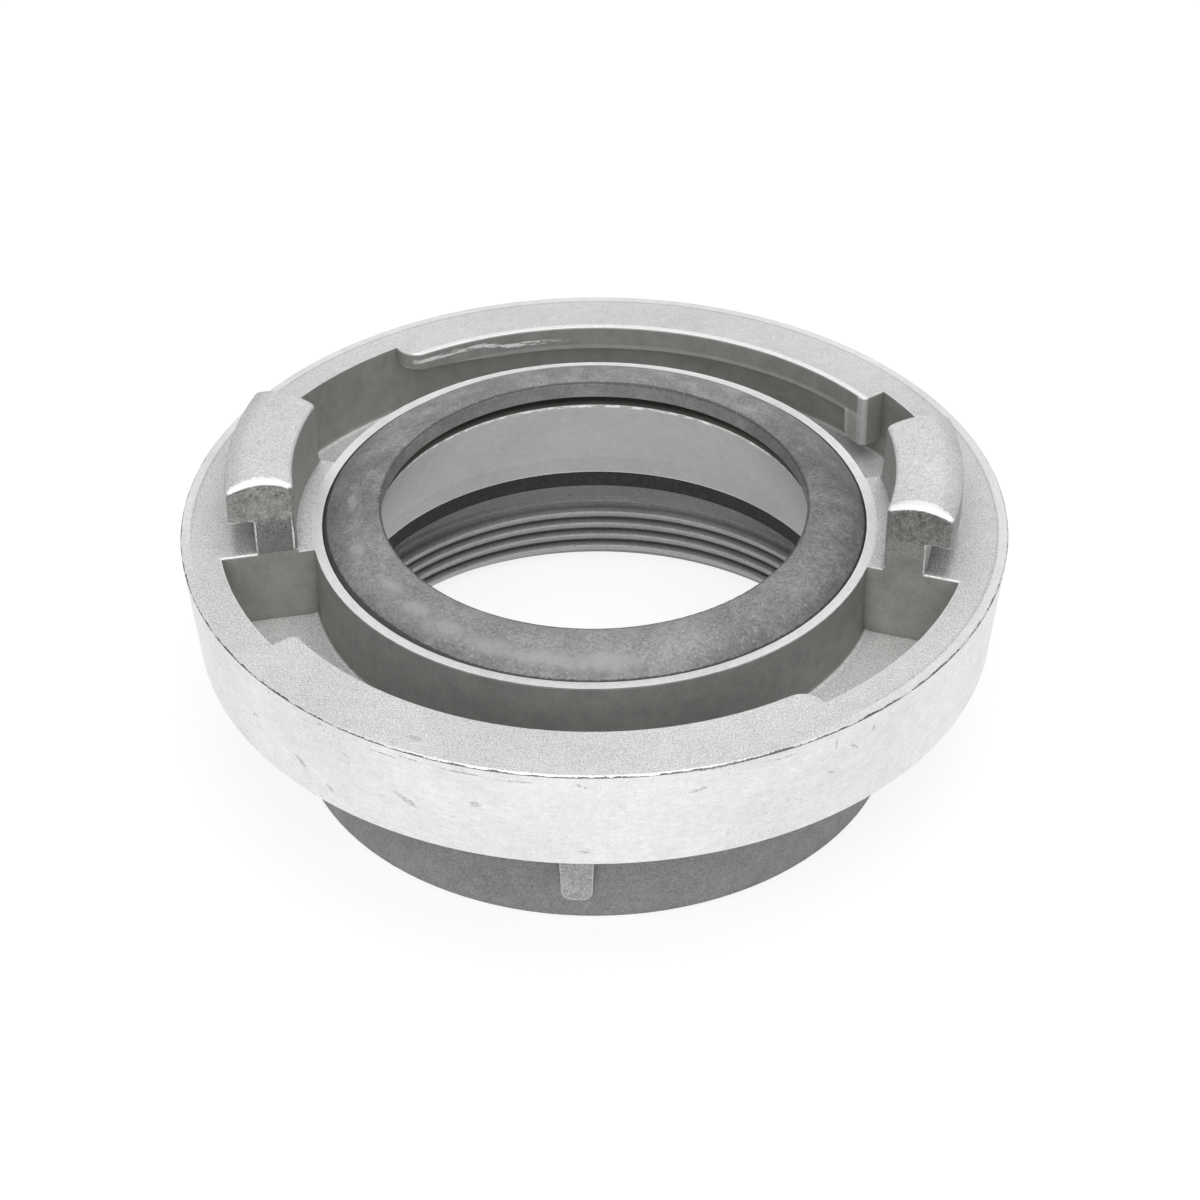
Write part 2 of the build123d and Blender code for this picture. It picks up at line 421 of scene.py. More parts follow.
def lip_masks(at):
    """Masks of the turn stops and of the painted highlights on the stops' and lips' edges."""
    lip_face = at.radius.between(LIP_RADIUS - 0.3, LIP_RADIUS + 0.9, 0.1)
    past_nose = 0 - at.clockwise_of(STOP_ANGLES[0])
    past_heel = at.clockwise_of(STOP_ANGLES[1])
    stop = past_nose.rises(-0.3, 0.1) * past_heel.rises(-0.1, 0.2)
    stop = stop * lip_face * at.z.between(STOP_BOTTOM - 0.3, LIP_FOOT + 0.3, 0.2)
    # Painted highlights on the stop's two upright edges, the nose and the heel.
    nose = past_nose.between(0.2, 1.2, 0.5) * lip_face
    nose = nose * at.z.between(STOP_BOTTOM, FACE - 0.1, 0.2)
    heel = (1 - past_heel.rises(0.4, 1.2)) * stop
    # The rear lip's upper edge: wear, with a painted highlight.
    edge = at.radius.between(LIP_RADIUS + 0.25, LIP_RADIUS + 0.85, 0.25)
    edge = edge * at.z.between(FACE - 0.25, FACE + 0.02, 0.1)
    edge = edge * at.y.rises(31.5, 33.0) * at.up.rises(0.5, 0.9)
    # Painted highlight along the lip's lower edge.
    foot = at.z.between(LIP_FOOT - 0.05, LIP_FOOT + 0.55, 0.35)
    return {
        "stop": stop,
        "stop_edges": nose.greatest(heel),
        "lip_edge": edge,
        "lip_foot": foot * at.inside * lip_face,
    }


print("a lip is", round(FACE - LIP_FOOT, 2), "mm thick")

# %% [markdown]
# Claws
#
# A claw is a neck that carries a head, and the head's hook hangs over the face. Its top is
# blasted like the face, and its walls are darker. The outer flank of the head gets painted
# shade, as on a slope turned from the light. The ends are left rough. Below the hook the
# face lies in the dark. The end of the left claw leans further and faces the lamps more than
# the other one, so it has a mask of its own: painted shade darkens its neck, and painted
# light brightens its head.

# %% Masks of the claws


def claw_masks(at):
    """Masks of the claws' walls and ends, of the face below their hooks, and of painted shade."""
    above_face = at.z.rises(FACE - 0.02, FACE)
    end_facing = 1 - (at.outward * at.outward + at.up * at.up).rises(0.25, 0.6)
    on_neck = at.radius.between(CLAW_RADIUS + 0.2, NECK_RADIUS - 0.2, 0.15)
    beside_neck = at.radius.between(NECK_RADIUS - 0.3, NECK_RADIUS + 0.4, 0.1)
    # Painted shade on the outer flank of each head's top.
    head_flank = at.radius.rises(NECK_RADIUS + 0.3, NECK_RADIUS + 2.8)
    head_flank = head_flank * at.z.rises(HOOK_BOTTOM + 1.1, HOOK_BOTTOM + 2.6)
    below_hook = at.behind_claw_end(*CLAW_ENDS["left"]).rises(-0.5, 1.5)
    below_hook = below_hook * at.behind_claw_end(*CLAW_ENDS["right"]).rises(-0.5, 1.5)
    below_hook = below_hook * at.level * at.radius.between(NECK_RADIUS, NECK_RADIUS + 2.4, 1.6)
    return {
        "claw_walls": above_face * (1 - at.up.rises(0.10, 0.45)),
        "claw_heads": above_face * end_facing * at.z.rises(HOOK_BOTTOM - 0.8, HOOK_BOTTOM + 0.6),
        "claw_foot": end_facing * on_neck * at.z.between(FACE - 1.0, FACE + 2.5, 0.4),
        "neck_outside": above_face * at.outside * beside_neck,
        "head_flank": head_flank * (1 - end_facing),
        # Painted shade and painted light on the front end of the left claw.
        "left_end_light_and_shade": above_face * end_facing * at.front * at.left,
        "hook_shade": below_hook * at.z.between(FACE - 0.2, FACE + 0.2, 0.1),
    }


print("a hook hangs", round(HOOK_BOTTOM - FACE, 2), "mm above the face")

# %% [markdown]
# Throat, thread and hub
#
# Inside, the water runs through a conical throat. The seal hangs over the land on top of
# it, and the land is painted nearly black as the seal's shadow, lighter towards the mouth.
# The throat's upper edge is a bright broken line. Below the shoulder comes the pipe
# thread, with lighter crests. The hub outside is as cast, and its ribs are a little lighter.

# %% Masks of the throat, the thread and the hub


def bore_masks(at):
    """Masks of the throat and its land, of the thread and of the hub and its ribs."""
    below_shoulder = 1 - at.z.rises(SHOULDER - 0.1, SHOULDER)
    bore = (1 - at.radius.rises(THREAD_RADIUS + 0.9, THREAD_RADIUS + 1.0)) * below_shoulder
    throat = 1 - at.radius.rises(THROAT_RADIUS + 0.6, THROAT_RADIUS + 0.8)
    throat = throat * at.z.between(SHOULDER, THROAT_TOP + 0.02, 0.05)
    # The land under the seal is painted nearly black as the seal's shadow, lighter at the mouth.
    land = 1 - at.radius.rises(LAND_RADIUS - 0.3, LAND_RADIUS)
    land = land * at.z.rises(THROAT_TOP - 0.03, THROAT_TOP) * at.level
    near_mouth = 1 - at.radius.rises(THROAT_MOUTH_RADIUS + 0.1, THROAT_MOUTH_RADIUS + 1.6)
    under_ring = 1 - at.z.rises(RING_FOOT, RING_FOOT + 0.1)
    on_crest = 1 - at.radius.rises(THREAD_CREST_RADIUS + 0.25, THREAD_RADIUS - 0.3)
    return {
        "throat": throat,
        "throat_land": land,
        "land_edge": land * near_mouth,
        "throat_edge": throat * (1 - at.level) * at.z.rises(THROAT_TOP - 0.8, THROAT_TOP - 0.4),
        "bore": bore,
        "crest": bore * on_crest,
        "hub": under_ring * at.radius.rises(THREAD_RADIUS + 0.9, THREAD_RADIUS + 1.2),
        "rib": (1 - at.z.rises(*RIB_FADE)) * at.radius.rises(RIB_RADIUS - 0.1, RIB_RADIUS + 0.1),
    }


print("the thread's ridge is", round(THREAD_RADIUS - THREAD_CREST_RADIUS, 2), "mm high")

# %% [markdown]
# Edges that stay plain
#
# The bevel mask finds every edge. On a few of them the photograph shows no bright line:
# the foot and the inside of the claws, the lips, the spigot's wall and most of the ring's
# top edge. Those are taken out again.

# %% All surfaces, and the edges without wear

SURFACE_GROUPS = (ring_masks, channel_masks, lip_masks, claw_masks, bore_masks)


def casting_surfaces(at):
    """Masks of all the casting's surfaces, by name."""
    masks = {}
    for group in SURFACE_GROUPS:
        masks.update(group(at))
    return masks


def unworn_edges(at, on):
    """Mask of the outer edges that no wear has reached."""
    lip = at.radius.between(LIP_RADIUS - 0.4, LIP_RADIUS + 0.6, 0.1)
    inner_claw = 1 - at.radius.rises(CLAW_RADIUS + 1.0, CLAW_RADIUS + 1.5)
    inner_claw = inner_claw * at.z.rises(FACE - 0.1, FACE + 0.2)
    spigot = at.outside * (1 - at.radius.rises(SPIGOT_RADIUS + 0.4, SPIGOT_RADIUS + 0.5))
    ring = at.radius.rises(RING_RADIUS - 0.7, RING_RADIUS - 0.5)
    ring = ring * (0.95 - at.x.rises(-34.0, -14.0) * 0.2)
    return on["claw_foot"].greatest(lip).greatest(inner_claw).greatest(spigot).greatest(ring)


print("groups of surfaces:", [group.__name__ for group in SURFACE_GROUPS])

# %% [markdown]
# Blasted, cast and turned aluminium
#
# The photograph gives each surface its grey. The face of the ring and the claws are
# blasted, a light grey with a grain as fine as sand. The outside of the ring is turned and
# nearly white, with faint lines round it, small pits and dents, and a dark broken line
# where the tool left a burr below the top edge. The channel keeps the dark skin of the
# casting. These greys are the base colours, and the light is set so that they stay as
# they are written.

# %% Greys of the casting

BLASTED = (0.665, 0.665, 0.662)
BORDER = (0.74, 0.74, 0.735)
BORDER_LINE = (0.58, 0.58, 0.575)
TURNED = (0.855, 0.855, 0.85)
# Painted shade on the ring's rounded top edge.
RING_EDGE_SHADE = (0.68, 0.68, 0.675)
RIM_CUT = (0.74, 0.74, 0.735)
CHANNEL_SKIN = (0.375, 0.375, 0.359)
# Skin of the mould on the spigot's wall, darker with painted shade deep in the channel.
SPIGOT_SKIN_AND_SHADE = (0.31, 0.31, 0.299)
CHANNEL_SAND = (0.72, 0.72, 0.715)
STOP_SKIN = (0.52, 0.52, 0.50)
# Painted highlight on the stop's upright edges.
STOP_EDGE_HIGHLIGHT = (0.66, 0.66, 0.65)
CLAW_WALL = (0.34, 0.34, 0.327)
HEAD_END = (0.27, 0.27, 0.26)
NECK_SIDE = (0.52, 0.52, 0.51)
# Painted shade on the outer flank of a head's top.
HEAD_FLANK_SHADE = (0.56, 0.56, 0.557)
HUB_CAST = (0.32, 0.32, 0.317)
RIB_CAST = (0.50, 0.50, 0.495)
THROAT_CUT = (0.47, 0.47, 0.465)
# Painted shadow of the seal on the land below it.
THROAT_LAND_SHADOW = (0.24, 0.24, 0.23)
LAND_EDGE = (0.65, 0.65, 0.60)
BORE_CUT = (0.42, 0.42, 0.41)
CREST_CUT = (0.62, 0.62, 0.61)
# White of worn edges, and of the painted highlight on the rear lip's upper edge.
WEAR_AND_HIGHLIGHT = (0.95, 0.95, 0.95)
# White of the scrape, and of the painted highlight at the lip's lower edge.
SCRAPE_AND_HIGHLIGHT = (0.97, 0.97, 0.97)
PIT_GREY = (0.50, 0.50, 0.49)
DENT_GREY = (0.40, 0.40, 0.39)
BURR_DARK = (0.10, 0.10, 0.095)
# Dark of dirt in corners and on scuffed claw ends, and of painted shade in the corners.
DIRT_AND_SHADE = (0.09, 0.09, 0.085)

SURFACE_GREYS = {
    "border": BORDER,
    "border_line": BORDER_LINE,
    "channel": CHANNEL_SKIN,
    "spigot_wall": SPIGOT_SKIN_AND_SHADE,
    "channel_floor": CHANNEL_SAND,
    "stop": STOP_SKIN,
    "stop_edges": STOP_EDGE_HIGHLIGHT,
    "head_flank": HEAD_FLANK_SHADE,
    "claw_walls": CLAW_WALL,
    "claw_heads": HEAD_END,
    "neck_outside": NECK_SIDE,
    "hub": HUB_CAST,
    "rib": RIB_CAST,
    "throat": THROAT_CUT,
    "throat_land": THROAT_LAND_SHADOW,
    "land_edge": LAND_EDGE,
    "bore": BORE_CUT,
    "crest": CREST_CUT,
    "rim": RIM_CUT,
    "ring_side": TURNED,
    "ring_edge": RING_EDGE_SHADE,
}
print("greys:", len(SURFACE_GREYS), "surfaces")

# %% [markdown]
# Marks of use
#
# Some marks are spread by noise: pits in clusters, short streaks, a dark line below the
# top edge of the ring that comes and goes. Others are single dents and scratches, and a
# photograph shows just where they are. Those are listed by azimuth and height. Each is an
# ellipsoid that lies in the surface, and noise makes its outline uneven.

# %% Listed marks on the ring

# Azimuth in degrees, height, length, width, and tilt in degrees.
RING_DENTS = [
    (-102.3, 33.1, 1.1, 0.55, 0),
    (-124.7, 39.0, 0.7, 0.30, 25),
    (-88.8, 38.6, 0.30, 0.55, 20),
    (-88.0, 38.2, 0.25, 0.35, -30),
    (-54.2, 37.6, 0.22, 1.30, 4),
    (-51.0, 35.4, 1.60, 0.20, -48),
    (-54.4, 32.3, 0.9, 0.35, -20),
    (-48.0, 37.2, 0.35, 0.7, 15),
    (-88.3, 25.6, 1.8, 0.35, 0),
    (-73.5, 36.2, 1.5, 0.35, 12),
    (-129.8, 28.9, 1.9, 0.7, -35),
    (-124.6, 26.6, 1.4, 0.45, -40),
    (-112.0, 30.6, 2.4, 0.7, -25),
    (-139.0, 31.5, 0.8, 0.45, 30),
]
# Azimuth in degrees, height, length and width.
RING_DASHES = [
    (-115.1, 38.4, 2.6, 0.16),
    (-103.8, 38.75, 4.2, 0.13),
    (-111.0, 39.0, 2.2, 0.20),
    (-96.9, 38.6, 3.4, 0.12),
    (-71.3, 39.9, 3.3, 0.30),
    (-62.0, 38.7, 3.0, 0.11),
]
# Azimuth in degrees, radius, height, and reach along the radius, round it and upwards.
FACE_DENT = (-111.4, 59.2, FACE, (0.55, 1.3, 1.0))
# Reach of the marks on the ring's outside along the radius.
MARK_DEPTH = 2.5


def ragged_patch(away, ragged):
    """1 inside an ellipsoid with a ragged outline, and 0 outside it."""
    return 1 - (away + (ragged - 0.5) * 1.6).rises(0.55, 1.05)


def listed_patches(at, marks, ragged):
    """One mask with all the listed marks on the ring's outside."""
    mask = 0.0
    for azimuth, height, length, width, *tilt in marks:
        size = (MARK_DEPTH, length, width)
        away = at.away(azimuth, RING_RADIUS, height, size, *tilt)
        mask = mask + ragged_patch(away, ragged)
    return mask.rises(0.0, 1.0)


print("listed marks on the ring:", len(RING_DENTS), "dents,", len(RING_DASHES), "dashes")

# %% [markdown]
# Four noises are made once and shared by all the marks, which keeps the shader small. Two
# of them follow the way round the axis. A dent is a mask times a noise, so no two look
# alike. The dark line along the top edge is where the distance from a wavering height is
# less than a wavering thickness, and where that thickness falls below nothing it breaks.

# %% Marks on the ring's outside


def mark_noises(f, at):
    """Noises that break up the marks, by name."""
    return {
        "ragged": f.noise(at.point, 1.5, detail=3.0, roughness=0.7),
        "fine": f.noise(at.point, 3.5, detail=2.0, roughness=0.6),
        "wobble": f.noise(at.turned(14.0, 0.0), 1.0, detail=4.0, roughness=0.7),
        "along": f.noise(at.turned(22.0, 2.2), 1.0, detail=4.0, roughness=0.65),
    }


def ring_pits(f, at, on):
    """Mask of pits in clusters and of short streaks, with more of them on the left."""
    at_left = 1 - at.x.rises(-44.0, -18.0)
    clusters = (f.noise(at.point, 0.12, detail=3.0) + at_left * 0.06).rises(0.50, 0.68)
    specks = f.noise(at.point, 1.9, detail=3.0, roughness=0.6).rises(0.60, 0.68)
    streaks = f.noise(at.turned(26.0, 3.0), 1.0, detail=3.0, roughness=0.6).rises(0.60, 0.72)
    return on["ring_side"] * (specks * clusters + streaks * 0.45) * (0.65 + at_left * 0.25)


def ring_dents(at, on, noise):
    """Mask of the listed dents in the ring's outside, and of the one in its face."""
    on_side = listed_patches(at, RING_DENTS, noise["ragged"]) * on["ring_side"]
    in_face = ragged_patch(at.away(*FACE_DENT), noise["ragged"]) * (1 - on["ring_side"])
    return (on_side + in_face) * (0.3 + noise["fine"].rises(0.40, 0.60))


def burr_line(at, on, noise):
    """Mask of the broken dark line at the ring's top edge, and of the dashes below it."""
    height = FACE - 0.28 + (noise["wobble"] - 0.5) * 0.5
    off_line = (at.z - height).unsigned()
    thickness = (noise["wobble"] - 0.26) * 0.42 + (noise["fine"] - 0.5) * 0.24
    line = at.outward.rises(0.25, 0.45) * at.radius.rises(RING_RADIUS - 0.8, RING_RADIUS - 0.6)
    line = line * off_line.maths("LESS_THAN", off_line, thickness)
    dashes = listed_patches(at, RING_DASHES, noise["fine"])
    return line.greatest(dashes * on["ring_side"] * noise["ragged"].rises(0.40, 0.55) * 0.6)


# %% [markdown]
# One long scrape runs along the wall of the rear lip, where the hooks of the mating
# coupling have slid. It is a narrow band at a height that steps down and wavers, broken
# by the noise that runs along it.

# %% All marks on the casting


def lip_scrape(at, noise):
    """Mask of the bright scrape along the wall of the lip, at the back on the left."""
    height = FACE - 1.4 - at.x.rises(-22.0, -16.0) * 0.95 + (noise["wobble"] - 0.5) * 0.9
    off_scrape = (at.z - height).unsigned()
    back_left = at.y.rises(40.0, 44.0) * (1 - at.x.rises(-14.0, -6.0))
    scrape = back_left * (1 - off_scrape.rises(0.20, 0.50)) * noise["along"].rises(0.43, 0.50)
    on_wall = at.radius.between(LIP_RADIUS - 0.5, LIP_RADIUS + 0.7, 0.2)
    return scrape * at.inward.rises(0.5, 0.7) * on_wall


def casting_marks(f, at, on):
    """Masks of the marks on the casting and the noises that break them up, by name."""
    noise = mark_noises(f, at)
    brightness = 0.45 + noise["wobble"].rises(0.40, 0.60) * 0.55
    return {
        **noise,
        "breaks": noise["along"].rises(0.40, 0.56) * brightness,
        "pits": ring_pits(f, at, on),
        "dents": ring_dents(at, on, noise),
        "burr": burr_line(at, on, noise),
        "scrape": lip_scrape(at, noise),
    }


print("a listed mark reaches", MARK_DEPTH, "mm along the radius")

# %% [markdown]
# Worn claws
#
# The front ends of the claws carry the strongest wear. A coupling is pushed and dropped on
# them, so the arch of each end is worn to a bright band, widest in its middle. Below it
# the edges of the neck and of the bridge keep a thin bright burr. Both follow the plane of
# the claw's end, so they stay parallel to it whatever its lean.

# %% Worn claws

CLAW_MIDDLE_RADIUS = 50.0
CLAW_HALF_WIDTH = 5.4
# Width of the worn band at the sides of a claw, and what its middle adds to that.
WORN_WIDTHS = {"left": (0.45, 0.85), "right": (0.40, 1.6)}


def worn_claw_edges(at, mark):
    """Mask of the bright edges at the front ends of the claws and of what carries them."""
    off_middle = (at.radius - CLAW_MIDDLE_RADIUS) / CLAW_HALF_WIDTH
    arch = 1 - off_middle * off_middle
    ragged = (mark["ragged"] - 0.5) * 1.8 + (mark["fine"] - 0.5) * 0.7
    band = 0.0
    burr = 0.0
    for side, share in (("left", at.left), ("right", 1 - at.left)):
        at_sides, in_middle = WORN_WIDTHS[side]
        width = at_sides + arch * in_middle
        behind = at.behind_claw_end(*CLAW_ENDS[side])
        band = band + share * (1 - (behind - width - ragged).rises(-0.40, 0.25))
        burr = burr + share * (behind - ragged * 0.3).between(-0.5, 0.25, 0.15)
    band = band * at.z.rises(HOOK_BOTTOM + 2.8, HOOK_BOTTOM + 3.6) * at.up.rises(0.30, 0.42)

    off_neck = 1 - at.radius.between(CLAW_RADIUS, NECK_RADIUS - 0.25, 0.1)
    edges = at.z.between(RIM_TOP - 0.2, HOOK_BOTTOM - 0.2, 0.1) * off_neck
    edges = edges * at.radius.between(CLAW_RADIUS - 2.0, CHANNEL_RADIUS + 0.1, 0.1)
    on_bridge = 1 - at.z.rises(FACE + 0.05, FACE + 0.10)
    up_neck = (1 - on_bridge) * at.radius.between(48.0, NECK_RADIUS + 0.1, 0.1)
    up_neck = up_neck * mark["ragged"].rises(0.36, 0.56)
    edges = edges * (on_bridge * at.up.rises(0.5, 0.8)).greatest(up_neck * 0.8)
    burr = burr * edges * mark["fine"].rises(0.35, 0.45)
    return at.front * (band * (0.62 + mark["fine"] * 0.6)).greatest(burr)


def worn_and_highlit_edges(at, on, mark, wear):
    """Mask of all the bright edges: wear, and the painted highlight on the rear lip's edge."""
    wear_and_highlight = wear * mark["ragged"].rises(0.22, 0.50) * (1 - unworn_edges(at, on))
    wear_and_highlight = wear_and_highlight.greatest(worn_claw_edges(at, mark))
    # The rear lip's upper edge gets a painted highlight.
    wear_and_highlight = wear_and_highlight.greatest(on["lip_edge"] * (0.75 + (mark["ragged"] - 0.5)))
    return wear_and_highlight.greatest(on["throat_edge"] * mark["breaks"])


# %% [markdown]
# The casting's finish
#
# Everything comes together in layers, as a painter would lay them. First each surface gets
# its grey. A shade then makes it lighter or darker from place to place, by grain, blotches
# and lathe lines, and by painted shade below the hooks, on the hub towards the ring and on
# the left claw's end. The marks lie on top of that, with dirt and painted shade in the
# corners, and the bright wear and painted highlights last, because they cut through all the
# rest. Turned surfaces are smoother and more like a mirror, so the same mask that calms
# their grain lowers their roughness and raises their metallic part.

# %% Aluminium casting


def casting_shade(f, at, on, grain, coarse, smooth, skin):
    """How much lighter or darker than its own grey each place of the casting is."""
    broad = f.noise(at.point, 0.05, detail=3.0)
    blotch = f.noise(at.point, 0.35, detail=4.0, roughness=0.6)
    lathe = f.noise(at.turned(16.0, 4.5), 1.0, detail=3.0, roughness=0.65)
    rough_ends = on["claw_heads"] * 1.7 + on["rib"] * 0.4
    back = at.y.rises(-30.0, 45.0)
    shade = 1 + (broad - 0.5) * 0.30
    shade = shade + (grain - 0.5) * (1.9 - smooth * 1.5 - skin * 1.2 - back * 0.7)
    shade = shade + (coarse - 0.5) * (0.24 + rough_ends)
    shade = shade + (blotch - 0.5) * (0.16 + skin * 0.35 + on["hub"] * 0.40)
    shade = shade + (lathe - 0.5) * (smooth * 0.28)
    # Painted shade: the face below the hooks is darker, and the hub darkens towards the ring.
    shade = shade - on["hook_shade"] * 0.40 + on["hub"] * (0.08 - at.z * 0.012)
    # Painted shade darkens the left claw's neck, and painted light brightens its head.
    return shade - on["left_end_light_and_shade"] * (0.46 - on["claw_heads"] * 0.66)


def casting_finish():
    f = Finish("blasted_and_turned_aluminium")
    at = RoundPlace(f)
    on = casting_surfaces(at)
    mark = casting_marks(f, at, on)
    wear, dirt_and_shade = edge_masks(f)
    smooth = on["ring_side"].greatest(on["rim"]).greatest(on["throat"]).greatest(on["throat_land"])
    smooth = smooth.greatest(on["border"] * 0.8)
    skin = on["claw_foot"].greatest(on["channel"] * (1 - on["channel_floor"]))
    grain = f.noise(at.point, 3.6, detail=3.0, roughness=0.8)
    coarse = f.noise(at.point, 0.9, detail=3.0, roughness=0.7)

    # The border is laid on twice, here and below, so that it fades late towards the front.
    colour = f.blend(on["border"], BLASTED, BORDER)
    for surface, grey in SURFACE_GREYS.items():
        colour = f.blend(on[surface], colour, grey)
    colour = f.shaded(colour, casting_shade(f, at, on, grain, coarse, smooth, skin))

    # How much dirt and painted shade each surface keeps in its corners.
    keeps_dirt_and_shade = 0.50 - smooth * 0.35 - on["channel_floor"] * 0.40 - on["bore"] * 0.25
    near_top = at.z.rises(HOOK_BOTTOM + 1.4, HOOK_BOTTOM + 4.1)
    scuffed = near_top * on["claw_heads"] * mark["ragged"].rises(0.40, 0.60)
    wear_and_highlight = worn_and_highlit_edges(at, on, mark, wear)
    # The first layer darkens inner corners, with dirt and painted shade.
    layers = [
        (dirt_and_shade * keeps_dirt_and_shade, DIRT_AND_SHADE),
        (mark["pits"], PIT_GREY),
        (mark["dents"] * 0.60, DENT_GREY),
        (mark["burr"], BURR_DARK),
        (scuffed * 0.45, DIRT_AND_SHADE),
        # Painted highlight along the lip's lower edge.
        (on["lip_foot"] * 0.20, SCRAPE_AND_HIGHLIGHT),
        # Worn edges, with the painted highlight on the rear lip's upper edge.
        (wear_and_highlight, WEAR_AND_HIGHLIGHT),
        (mark["scrape"], SCRAPE_AND_HIGHLIGHT),
    ]
    for mask, grey in layers:
        colour = f.blend(mask, colour, grey)

    roughness = 0.62 - smooth * 0.18 - wear_and_highlight * 0.15
    metallic = 0.55 + smooth * 0.25 - mark["scrape"] * 0.5
    height = grain * 0.9 + coarse * 0.5
    relief = 1 - smooth * 0.85 - skin * 0.6
    return f.finished(colour, roughness, metallic, height, 0.12, relief)


body.material_slots[0].material = casting_finish()
print("casting finish:", body.material_slots[0].material.name, len(body.data.polygons), "faces")

# %% [markdown]
# Rubber
#
# The face seal is grey moulded rubber with talc and dust on it, and the thread gasket is
# cut from black rubber sheet. Rubber has no metallic part and is rough all over. What
# makes it look real is the uneven grey: lighter smears round the crown where it has been
# pressed and wiped, small pale specks of dust, a few scratches across, and dark crumbs
# along the edge of the bore, where the mould's flash was torn off. At its outer edge the
# seal drops away from the metal rim, and that gap is painted black, as its shadow and its
# dirt.

# %% Greys and marks of the face seal

SEAL_GREY = (0.185, 0.185, 0.182)
# Grey of dry and wiped rubber, and of the painted highlight on the crown in front.
SEAL_DRY_AND_HIGHLIGHT = (0.33, 0.33, 0.325)
SEAL_TALC = (0.46, 0.46, 0.455)
# Dark of the crumbs, and of the painted shadow with dirt in the outer gap.
SEAL_DARK = (0.045, 0.045, 0.043)

# Radius of the lip over the bore, the two of the crown, and that of the outer gap.
SEAL_LIP_RADIUS = 32.25
SEAL_CROWN = (33.5, 39.0)
SEAL_GAP_RADIUS = 40.85
SEAL_MARK_HEIGHT = FACE + 2.0
SEAL_MARK_DEPTH = 3.0

# Azimuth in degrees, radius, reach inwards, reach round, and twist in degrees.
SEAL_SMUDGES = [
    (182.6, 36.4, 0.9, 2.8, 0),
    (202.8, 37.3, 1.1, 2.0, 0),
    (220.1, 36.7, 0.9, 2.6, 0),
    (229.0, 37.2, 1.1, 3.4, 6),
    (239.0, 37.9, 1.3, 4.0, 4),
    (250.0, 38.3, 1.2, 3.6, 0),
    (262.0, 38.6, 1.1, 4.5, 0),
    (275.0, 38.8, 1.2, 5.0, 0),
]
SEAL_SCRATCHES = [
    (-88.6, 34.7, 1.6, 0.10, 25),
    (-87.6, 34.3, 1.3, 0.09, -10),
    (-52.0, 34.5, 1.9, 0.11, 5),
    (-33.4, 35.1, 2.4, 0.10, 55),
    (-31.5, 35.8, 2.0, 0.10, 60),
    (-120.0, 35.0, 1.8, 0.09, -40),
]


def seal_marks(at, marks, ragged):
    """One mask with all the listed marks on the seal."""
    mask = 0.0
    for azimuth, radius, inwards, around, twist in marks:
        size = (inwards, around, SEAL_MARK_DEPTH)
        away = at.away(azimuth, radius, SEAL_MARK_HEIGHT, size, twist=twist)
        mask = mask + (1 - (away + (ragged - 0.5) * 4.0).rises(0.1, 1.4))
    return mask.rises(0.0, 1.0)


print("listed marks on the seal:", len(SEAL_SMUDGES), "smudges,", len(SEAL_SCRATCHES), "scratches")

# %% [markdown]
# The seal's layers go on like the casting's: the moulded grey, then the dry and wiped
# places and a painted highlight on the crown in front, the shade of its mottle, the talc,
# and last the two dark lines at its edges: the crumbs at the bore, and the painted shadow
# and dirt in the outer gap. The relief raises its mottle and its clouds, and sinks the line
# of crumbs.

# %% Face seal


